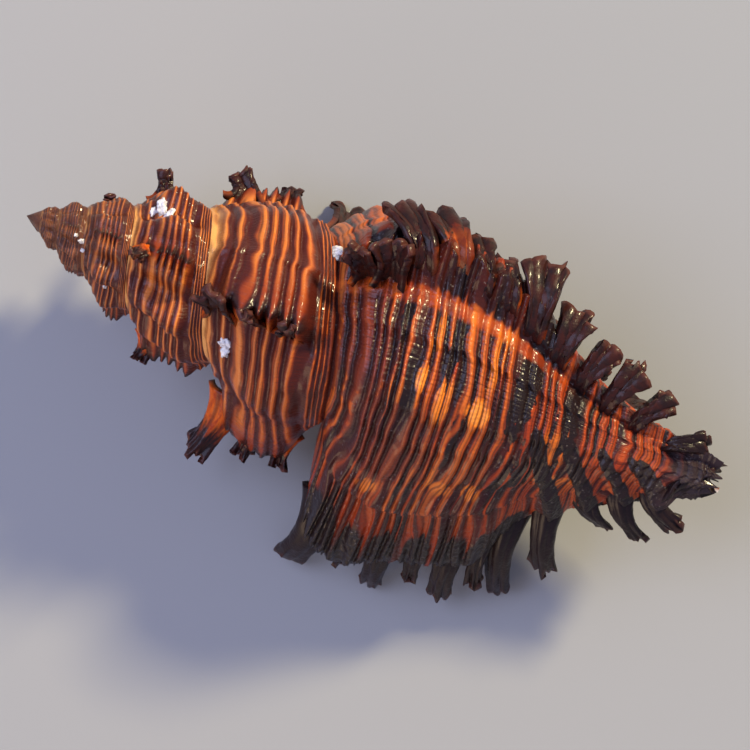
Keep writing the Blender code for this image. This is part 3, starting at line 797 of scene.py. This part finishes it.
# how much of each cord its dark stripe takes
belts = noise(tree, 1.0, 2.0, pack(tree, turn * 11.0, cord * 0.12, 3.0))
spire_edge = across + (fate - 0.5) * 0.4 + (strips - 0.5) * 0.5 + darkness * 0.5 + (belts - 0.5) * 1.1
spire_dark = spire_edge.smooth(0.22, 0.62)
threshold = (0.30 - (patches - 0.5) * 1.1 + (fate - 0.5) * 0.7 - darkness * 0.62 - (strips - 0.5) * 0.45
             + glow * 0.5 + between * 0.35 + shoulder * 0.40)
body_dark = (across - threshold).smooth(-0.16, 0.14)
spire_red = spire_edge.smooth(0.05, 0.50)
body_red = (across - threshold).smooth(-0.45, 0.02)
redder = spire_red + (body_red - spire_red) * on_body
body_dark = body_dark.math("MAXIMUM", across.smooth(0.72, 0.95) * 0.85).math("MAXIMUM", fold_dark)
dark_share = spire_dark + (body_dark - spire_dark) * on_body
hair = across_third.smooth(0.40, 0.92) * (0.30 + 0.60 * wisps) * (1.0 - crest.smooth(0.2, 0.5))
dark_share = dark_share.math("MAXIMUM", hair)

# the colour between the dark stripes
light = colour_mix(tree, (strips - 0.3).smooth(0.0, 0.4), RED_ORANGE, BRIGHT_ORANGE)
tan_share = (away.smooth(0.52, 0.30) * 0.55 + (fate - 0.5) * 0.5).math("MAXIMUM", 0.0)
light = colour_mix(tree, tan_share, light, TAN)
light = colour_mix(tree, strips.smooth(0.60, 0.75) * 0.5, light, GLOW)
light = colour_mix(tree, redder * 0.75, light, RED_ORANGE)
crest_red = (crest.smooth(0.08, 0.45) * on_body).math("MAXIMUM", between * 0.6)
light = colour_mix(tree, crest_red, light, RED_ORANGE)
light = colour_mix(tree, crest.smooth(0.25, 0.75) * away.smooth(0.74, 0.66) * 0.9, light, BROWN_RED)
light = colour_mix(tree, (glow + knob.smooth(0.9, 1.6) * 0.3).math("MINIMUM", 1.0), light, GLOW)
light = colour_mix(tree, glow.smooth(0.55, 0.9) * 0.25, light, CREAM)

# bare seams and feet, painted shade in the scooped hollows, and both colours together with stains and
# specks
seam_band = cord.smooth(1.2, 0.4) * patches.smooth(0.30, 0.5) * (1.0 - crest) * (1.0 - on_body)
foot_turns = ((turn - FOOT_TURN) * (1.0 / FOOT_WIDTH)).power(2.0)
foot = (foot_turns + (wisps - 0.5) * 2.0).smooth(2.2, 0.5) * away.smooth(0.78, 0.70)
# painted shade: the scooped hollows under the upper row take the dark shell colours, except on the foot
hollow_painted_shade = hollow.smooth(0.22, 0.5) * (1.0 - foot)
bare = (seam_band + foot * (0.5 + 0.5 * strips.smooth(0.42, 0.58))).math("MINIMUM", 1.0) * 0.85
black_share = (darkness + patches.smooth(0.4, 0.65) * on_body + fold_dark).math("MINIMUM", 1.0)
dark = colour_mix(tree, black_share, MAROON, BLACK_VIOLET)
dark_share = (dark_share * (1.0 - bare)).math("MAXIMUM", hollow_painted_shade)
light = colour_mix(tree, seam_band * 0.7, light, CREAM)
colour = colour_mix(tree, dark_share, light, dark)
stain = colour_mix(tree, across.smooth(0.2, 0.8), STAIN_BROWN, STAIN_DARK)
colour = colour_mix(tree, brown * (1.0 - glow) * 0.85, colour, stain)
colour = colour_mix(tree, away.smooth(0.90, 0.95), colour, CANAL_END)
specks = noise(tree, 2300.0, 2.0).smooth(0.64, 0.72) * dark_share * on_body * 0.3
colour = colour_mix(tree, specks, colour, SPECK_GREY)
colour = colour_mix(tree, away.smooth(0.20, 0.06) * 0.65, colour, DUSTY_GREY)
tree.links.new(colour.socket, surface.inputs["Base Color"])

grain = noise(tree, 2600.0, 3.0)
growth_lines = noise(tree, 1.0, 4.0, pack(tree, turn * 300.0, cord * 2.2, 0.0))
bump(tree, surface, growth_lines + grain * 0.35, 0.7, 0.22 * MM)
tree.links.new((growth_lines * 0.3 + 0.16).socket, surface.inputs["Roughness"])
surface.inputs["Specular IOR Level"].default_value = 0.16
surface.inputs["Coat Weight"].default_value = 0.22
surface.inputs["Coat Roughness"].default_value = 0.10

for piece in (last_whorl, under_side, spire):
    piece.data.materials.append(shell_lime)
    piece.data.shade_smooth()
    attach(piece, "root")
    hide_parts("shell")

# Fronds
# Each thick rib ends in a row of fronds, folds of the old lip: bent troughs, ribbed on
# the back, hollow on the side that faced the growing edge, flared and frilled at the end.

FROND_WALL = 0.85 * MM
FROND_COLUMNS, FROND_ROWS = 37, 27
UPPER_ROW_END = 0.400        # the last frond of the upper row stands further round
FROND_REACH = 0.96           # the solid's tips are a little longer than the frilled ones
# How far the orange of the whorl runs up the fronds, by the turn of their row. Below 0
# they are black, with deeper black lips.
FROND_TONES = {0.050: -0.5, 0.044: -0.3, 0.060: -0.4, 0.080: -0.5, 0.090: -0.5, 0.100: -0.5,
               0.400: -0.5, 0.418: 0.10, 0.424: 0.20, 0.430: 0.40, 0.436: 0.75,
               1.020: 0.60, 1.304: 0.35, 1.645: 0.5, 2.050: 0.6, 2.360: 0.6}
# the inner faces of these troughs take less painted shade
STRIPED_INSIDE = (0.436,)    # the stripes run on into the troughs of these
# root width, tip width and curl of the upper row, against those of the solid: open fans,
# and rolled ones at the end towards the spire
FAN_SHAPE = (0.65, 1.45, 0.56)
ROLLED_SHAPE = (0.90, 1.45, 0.90)
ROLLED_FROM = 110            # degrees of curl
LIP_RIB_HEIGHT, RIB_HEIGHT = 0.28, 0.16
LIP_FRILL, FRILL, FAN_FRILL, ROLLED_FRILL = 0.28, 0.45, 0.50, 0.18
RUST_RIM = (0.085, 0.026, 0.019, 1.0)
DEEP_MAROON = (0.034, 0.008, 0.006, 1.0)


def frond_tree():
    """Bends a flat grid into one frond, from its named sizes."""
    group = bpy.data.node_groups.new("frond", "GeometryNodeTree")
    face = group.interface
    face.new_socket("Geometry", in_out="OUTPUT", socket_type="NodeSocketGeometry")
    face.new_socket("Geometry", in_out="INPUT", socket_type="NodeSocketGeometry")
    for name in ("Root", "Bend", "Tip", "Crest"):
        face.new_socket(name, in_out="INPUT", socket_type="NodeSocketVector")
    for name in ("Root Width", "Tip Width", "Curl", "Ribs", "Rib Height", "Frill", "Cord"):
        face.new_socket(name, in_out="INPUT", socket_type="NodeSocketFloat")
    face.new_socket("Finish", in_out="INPUT", socket_type="NodeSocketMaterial")
    given = group.nodes.new("NodeGroupInput")
    result = group.nodes.new("NodeGroupOutput")

    def size(name):
        return Term(group, given.outputs[name])

    grid = group.nodes.new("GeometryNodeMeshGrid")
    grid.inputs["Size X"].default_value = 2.0
    grid.inputs["Size Y"].default_value = 1.0
    grid.inputs["Vertices X"].default_value = FROND_COLUMNS
    grid.inputs["Vertices Y"].default_value = FROND_ROWS
    across, along, _ = split(group, group.nodes.new("GeometryNodeInputPosition").outputs[0])
    along = along + 0.5

    shift = size("Cord")
    rib = (across * size("Ribs") * math.pi).cos().size()
    uneven = (across * 5.0 + shift).sin() * 0.5 + (across * 11.0 + shift * 2.0).sin() * 0.5
    reach = along * (0.93 + 0.07 * uneven) * (1.0 - 0.08 * across * across)
    left = 1.0 - reach
    middle = size("Root") * (left * left) + size("Bend") * (2.0 * reach * left)
    middle = middle + size("Tip") * (reach * reach)
    way = (size("Bend") - size("Root")) * left + (size("Tip") - size("Bend")) * reach
    way = way.vector_math("NORMALIZE")
    ahead = size("Crest").vector_math("CROSS_PRODUCT", way).vector_math("NORMALIZE")
    beside = ahead.vector_math("CROSS_PRODUCT", way)
    trumpet = along.power(5.0)
    half = (size("Root Width") * (1.0 - along).power(1.3) * 1.1
            + size("Tip Width") * (along.power(1.5) + trumpet * 0.05)) * 0.5
    angle = across * size("Curl") * (1.0 - 0.35 * along)
    round_size = half / size("Curl").sin().math("MAXIMUM", 0.9)
    outward = beside * angle.sin() - ahead * angle.cos()
    spread = beside * (round_size * angle.sin()) + ahead * (round_size * (0.75 - angle.cos()))
    waves = (across * 6.0 + shift * 1.7).sin() + 0.5 * (across * 13.0 + shift).sin()
    frill = trumpet * waves * size("Frill")
    scales = (along * 5.0 + 0.25 * (across * 6.0 + shift).sin() + shift * 0.13).math("FRACT") * 0.12 * MM
    knobs = (along * 13.0 + shift).sin() * (across * 7.0 + shift * 3.0).sin() * 0.10 * MM
    lift = rib * size("Rib Height") * (1.0 - 0.4 * along) + frill + (scales + knobs) * along
    place = middle + spread + outward * lift - ahead * (trumpet * size("Frill"))

    geometry = grid.outputs["Mesh"]
    for name, value in (("along", along), ("cord", across * size("Ribs") + size("Cord"))):
        store = group.nodes.new("GeometryNodeStoreNamedAttribute")
        store.data_type = "FLOAT"
        store.domain = "POINT"
        store.inputs["Name"].default_value = name
        group.links.new(geometry, store.inputs["Geometry"])
        group.links.new(value.socket, store.inputs["Value"])
        geometry = store.outputs[0]
    moved = group.nodes.new("GeometryNodeSetPosition")
    group.links.new(geometry, moved.inputs["Geometry"])
    group.links.new(place.socket, moved.inputs["Position"])
    geometry = moved.outputs[0]
    real = group.nodes.new("GeometryNodeRealizeInstances")
    finish = group.nodes.new("GeometryNodeSetMaterial")
    group.links.new(geometry, real.inputs[0])
    group.links.new(real.outputs[0], finish.inputs["Geometry"])
    group.links.new(given.outputs["Finish"], finish.inputs["Material"])
    group.links.new(finish.outputs[0], result.inputs[0])
    return group


def frond_root(turn, distance):
    """Where a frond leaves the whorl, a little inside it, and the rim of the rib above."""
    top = float(seam(turn))
    bottom = LENGTH if turn < 1.0 else float(seam(turn - 1.0))
    share = np.array([(distance - top) / (bottom - top)])
    radius = body_radius(turn, share) if turn < 1.0 else spire_radius(turn, share)
    crest_high = (varix_height(turn, share)[0] + knob_height(turn, share)) * MM
    root = around(turn, np.array([distance]), radius + 0.6 * crest_high - 0.8 * MM)[0]
    rim = around(turn, np.array([distance]), radius + crest_high + 1.0 * MM)[0]
    return Vector(root), Vector(rim)


frond_lime, tree, surface = new_material("frond_lime")
along, cord, inside, tone = (kept(tree, name) for name in ("along", "cord", "inside", "tone"))
number = (cord + 0.5).math("FLOOR")
across_cord = (cord - number).size() * 2.0
streaks = noise(tree, 1.0, 3.0, pack(tree, along * 5.0, cord * 3.0, 0.0))
black = (along * 1.25 + (streaks - 0.5) * 0.8 - tone).smooth(-0.05, 0.35)
# painted shade: the inner face of each trough, the hollow of the frond, is turned black
black = (black + across_cord.smooth(0.5, 0.9) * (1.0 - inside) * 0.6 + inside).math("MINIMUM", 1.0)
deep_black = (streaks.smooth(0.35, 0.65) + tone.smooth(0.0, -0.4)).math("MINIMUM", 1.0)
dark = colour_mix(tree, deep_black, DEEP_MAROON, BLACK_VIOLET)
warm = colour_mix(tree, streaks.smooth(0.3, 0.6), RED_ORANGE, BRIGHT_ORANGE)
colour = colour_mix(tree, black, warm, dark)
rim_noise = noise(tree, 900.0, 3.0)
rim = (along + (rim_noise - 0.5) * 0.16).smooth(0.93, 1.0) * (0.35 + 0.45 * tone.smooth(-0.3, 0.2))
colour = colour_mix(tree, rim, colour, RUST_RIM)
tree.links.new(colour.socket, surface.inputs["Base Color"])
grain = noise(tree, 2400.0, 4.0)
scales = (along * 60.0 + grain * 3.0).sin()
bump(tree, surface, grain + scales * 0.07, 0.6, 0.16 * MM)
surface.inputs["Roughness"].default_value = 0.34
surface.inputs["Specular IOR Level"].default_value = 0.12
surface.inputs["Coat Weight"].default_value = 0.16
surface.inputs["Coat Roughness"].default_value = 0.12

frond_group = frond_tree()
inputs = {item.name: item.identifier for item in frond_group.interface.items_tree
          if item.in_out == "INPUT"}
joined = bmesh.new()
values = {"along": [], "cord": [], "inside": [], "tone": []}
for number, (turn_at, root_at, tip_at, side, up, root_width, tip_width, curl) in enumerate(FRONDS):
    root, rim = frond_root(turn_at, root_at * MM)
    tip = Vector((AXIS.x + tip_at * MM, AXIS.y - side * MM, AXIS.z + up * MM))
    tip = root + (tip - root) * FROND_REACH
    bend = root + (rim - root).normalized() * 0.5 * (tip - root).length
    heading = (tip - root).normalized()
    lean = float(ease(0.6, 0.95, abs(heading.x)))
    crest_way = Vector((1.0 - lean, lean if turn_at < 0.25 else -lean, 0.0))
    blank = new_object("blank", bpy.data.meshes.new("blank"))
    nodes = blank.modifiers.new("frond", "NODES")
    nodes.node_group = frond_group
    small = min(1.0, root_width / 5.0)
    on_lip = turn_at < LIP_ROWS_END
    frill = LIP_FRILL if on_lip else FRILL
    rib_height = LIP_RIB_HEIGHT if on_lip else RIB_HEIGHT
    if in_upper_row(turn_at) or turn_at == UPPER_ROW_END:
        reshape, frill = (ROLLED_SHAPE, ROLLED_FRILL) if curl >= ROLLED_FROM else (FAN_SHAPE, FAN_FRILL)
        root_width, tip_width, curl = (a * b for a, b in zip((root_width, tip_width, curl), reshape))
    for name, value in (("Root", root), ("Bend", bend), ("Tip", tip), ("Crest", crest_way),
                        ("Root Width", root_width * MM), ("Tip Width", tip_width * MM),
                        ("Curl", math.radians(curl)), ("Ribs", 1.5 if root_width > 4.0 else 1.0),
                        ("Rib Height", rib_height * small * MM), ("Frill", frill * small * MM),
                        ("Cord", 3.0 + 5.0 * number), ("Finish", frond_lime)):
        nodes[inputs[name]] = value
    wall = blank.modifiers.new("wall", "SOLIDIFY")
    wall.thickness = FROND_WALL * (0.6 + 0.4 * small) * (1.25 if in_upper_row(turn_at) else 1.0)
    wall.offset = -1.0
    bpy.context.view_layer.update()
    made = bpy.data.meshes.new_from_object(blank.evaluated_get(bpy.context.evaluated_depsgraph_get()))
    for name in ("along", "cord"):
        part = np.empty(len(made.vertices), dtype=np.float32)
        made.attributes[name].data.foreach_get("value", part)
        values[name].append(part)
    # how much painted shade the inner face of this frond's trough takes
    inner = 0.35 if turn_at in STRIPED_INSIDE else 1.0
    values["inside"].append(inner * (np.arange(len(part)) >= len(part) // 2))
    values["tone"].append(np.full(len(part), FROND_TONES.get(turn_at, 0.5)))
    joined.from_mesh(made)
    bpy.data.objects.remove(blank, do_unlink=True)
# the tips are worn flat where the shell rests on them
for vert in joined.verts:
    vert.co = [min(max(c, low + 0.01 * MM), high - 0.01 * MM)
               for c, low, high in zip(vert.co, solid_box[0], solid_box[1])]
frond_mesh = bpy.data.meshes.new("fronds")
joined.to_mesh(frond_mesh)
joined.free()
for name in values:
    if name in frond_mesh.attributes:
        frond_mesh.attributes.remove(frond_mesh.attributes[name])
keep_values(frond_mesh, **{name: np.concatenate(parts) for name, parts in values.items()})
frond_mesh.materials.clear()
frond_mesh.materials.append(frond_lime)
frond_mesh.shade_smooth()
fronds = new_object("fronds", frond_mesh)
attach(fronds, "root")
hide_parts("shell")

# Mouth
# The opening lies between the lip and the older whorl, on the side that faces down. Its
# smooth porcelain wall turns in round the edge and follows the coil inwards.

# turn, distance from the tip, radius, half length, half width
MOUTH = ((0.010, 60.5, 12.8, 11.2, 5.0), (0.040, 60.4, 12.4, 10.8, 4.7),
         (0.100, 60.1, 12.1, 10.2, 4.4), (0.170, 59.4, 11.8, 9.4, 4.1),
         (0.240, 58.4, 11.5, 8.6, 3.8), (0.310, 57.2, 11.3, 7.6, 3.4),
         (0.380, 56.0, 11.1, 6.2, 2.8), (0.430, 55.2, 10.9, 4.2, 1.8),
         (0.436, 55.0, 10.9, 0.0, 0.0))
MOUTH_TURNS = [row[0] for row in MOUTH]
MOUTH_EDGE = MOUTH_TURNS[0]  # turn at which the wall of the mouth begins
MOUTH_SLANT = 1.2
WALL_LINES = 40
EDGE_BROWN = (0.30, 0.11, 0.045, 1.0)
PORCELAIN_WHITE = (0.74, 0.66, 0.60, 1.0)


def mouth_ring(turn, along, side):
    """Distance and radius of the mouth's wall: along runs from -1 to 1, side 1 is the outer wall."""
    far, out, long, wide = (np.interp(turn, MOUTH_TURNS, [row[k] for row in MOUTH]) for k in range(1, 5))
    away = out + side * wide * np.sqrt(np.maximum(0.0, 1.0 - along ** 2)) - MOUTH_SLANT * along * (long > 0)
    return (far + long * along) * MM, away * MM


def radius_of(points, distance):
    """How far points lie from the middle line of the shell."""
    side, up = centre(distance)
    return np.hypot(points[:, 1] - AXIS.y - side, points[:, 2] - AXIS.z - up)


edge_rows = np.linspace(0.0, 1.0, BACK_ROWS + 1)
lip = whorl_line(0.0, edge_rows, True)
older = whorl_line(FULL_TURN, edge_rows, True)
lip_distance = lip[4] * LENGTH
older_distance = older[4] * LENGTH
outer_radius = radius_of(lip[0], lip_distance)
inner_radius = np.interp(lip_distance, older_distance, radius_of(older[0], older_distance))
hole_share = (lip_distance / MM - MOUTH[0][1]) / MOUTH[0][3]


def face_between(edge_radius, side):
    """The rim from the lip or from the older whorl to the edge of the mouth."""
    hole_far, hole_away = mouth_ring(MOUTH_EDGE, np.clip(hole_share, -1.0, 1.0), side)
    middle = inner_radius + 0.5 * (outer_radius - inner_radius)
    outside = np.abs(hole_share) >= 1.0
    hole_far = np.where(outside, lip_distance, hole_far)
    hole_away = np.where(outside, np.clip(hole_away, middle - 0.5 * MM, middle + 0.5 * MM), hole_away)
    rows = []
    for share in np.linspace(0.0, 1.0, 9):
        turn = MOUTH_EDGE * math.sin(0.5 * math.pi * share)
        distance = (1.0 - share) * lip_distance + share * hole_far
        radius = (1.0 - share) * edge_radius + share * hole_away
        rows.append(around(turn, distance, radius))
    return np.stack(rows)


first, last = np.flatnonzero(np.abs(hole_share) < 1.0)[[0, -1]]
along = np.clip(hole_share[first - 1:last + 2], -1.0, 1.0)
wall_turns = np.append(np.linspace(MOUTH_EDGE, MOUTH_TURNS[-2], WALL_LINES), MOUTH_TURNS[-1])
points, faces, deep = [], [], []
count = 0
for side, edge_radius in ((1.0, outer_radius), (-1.0, inner_radius)):
    grid = face_between(edge_radius, side)
    tube = np.stack([around(turn, *mouth_ring(turn, along, side)) for turn in wall_turns])
    for part, depth in ((grid, np.linspace(0.0, 0.5, len(grid))), (tube, np.linspace(0.5, 3.0, len(tube)))):
        index = count + np.arange(part.shape[0] * part.shape[1]).reshape(part.shape[:2])
        faces += grid_faces(index if side > 0 else index[:, ::-1])
        points.append(part.reshape(-1, 3))
        deep.append(np.repeat(depth, part.shape[1]))
        count += index.size
mouth_mesh = bpy.data.meshes.new("mouth")
mouth_mesh.from_pydata(np.concatenate(points).tolist(), [], faces)
keep_values(mouth_mesh, deep=np.concatenate(deep))
mouth = new_object("mouth", mouth_mesh)

mouth_lime, tree, surface = new_material("mouth_lime")
inward = kept(tree, "deep") + (noise(tree, 300.0, 3.0) - 0.5) * 0.2
colour = colour_mix(tree, inward.smooth(0.05, 0.45), EDGE_BROWN, PORCELAIN_WHITE)
tree.links.new(colour.socket, surface.inputs["Base Color"])
surface.inputs["Roughness"].default_value = 0.18
mouth_mesh.materials.append(mouth_lime)
mouth_mesh.shade_smooth()
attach(mouth, "root")
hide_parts("shell")

# Crusts
# Small chalky lumps of lime that other sea creatures left on the spire and in a seam.

# distance from the tip, towards the lip, half length, half width, height, in millimetres
CRUSTS = ((18.3, -6.9, 1.2, 0.8, 0.35), (19.6, -6.3, 1.0, 0.7, 0.35), (17.4, -6.0, 0.7, 0.5, 0.3),
          (9.9, 0.8, 0.35, 0.6, 0.25), (10.3, 1.9, 0.3, 0.4, 0.2), (8.9, 0.3, 0.25, 0.3, 0.2),
          (14.6, 5.3, 0.4, 0.35, 0.2), (32.3, 7.2, 0.9, 0.7, 0.3), (32.6, 8.2, 0.6, 0.9, 0.3),
          (42.2, -8.6, 1.15, 1.15, 1.0))
CHALK_GREY = (0.34, 0.30, 0.29, 1.0)
CHALK_WHITE = (0.72, 0.70, 0.68, 1.0)

bpy.context.view_layer.update()
joined = bmesh.new()
for number, (far, side, half_long, half_wide, height) in enumerate(CRUSTS):
    above = Vector((AXIS.x + far * MM, AXIS.y - side * MM, 60 * MM))
    hits = [piece.ray_cast(above, Vector((0, 0, -1))) for piece in (spire, last_whorl)]
    hit = max((h for h in hits if h[0]), key=lambda h: h[1].z)
    stand = hit[2].to_track_quat("Z", "Y").to_matrix().to_4x4()
    lump = bmesh.new()
    bmesh.ops.create_icosphere(lump, subdivisions=4, radius=1.0)
    for vert in lump.verts:
        x, y, z = vert.co
        rough = (1.0 + 0.22 * math.sin(4.1 * x + number) * math.sin(5.3 * y + 2 * number)
                 + 0.08 * math.sin(13 * x + 3) * math.sin(11 * y + 5 * z))
        size = Vector((half_long * x, half_wide * y, height * z)) * (rough * MM)
        vert.co = hit[1] + stand @ size
    made = bpy.data.meshes.new("lump")
    lump.to_mesh(made)
    lump.free()
    joined.from_mesh(made)
crust_mesh = bpy.data.meshes.new("crusts")
joined.to_mesh(crust_mesh)
joined.free()
crusts = new_object("crusts", crust_mesh)

chalk, tree, surface = new_material("chalk")
mottle = noise(tree, 1500.0, 4.0)
colour = colour_mix(tree, mottle.smooth(0.35, 0.6), CHALK_GREY, CHALK_WHITE)
tree.links.new(colour.socket, surface.inputs["Base Color"])
bump(tree, surface, mottle, 0.8, 0.2 * MM)
surface.inputs["Roughness"].default_value = 0.8
crust_mesh.materials.append(chalk)
crust_mesh.shade_smooth()
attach(crusts, "root")
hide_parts("shell")
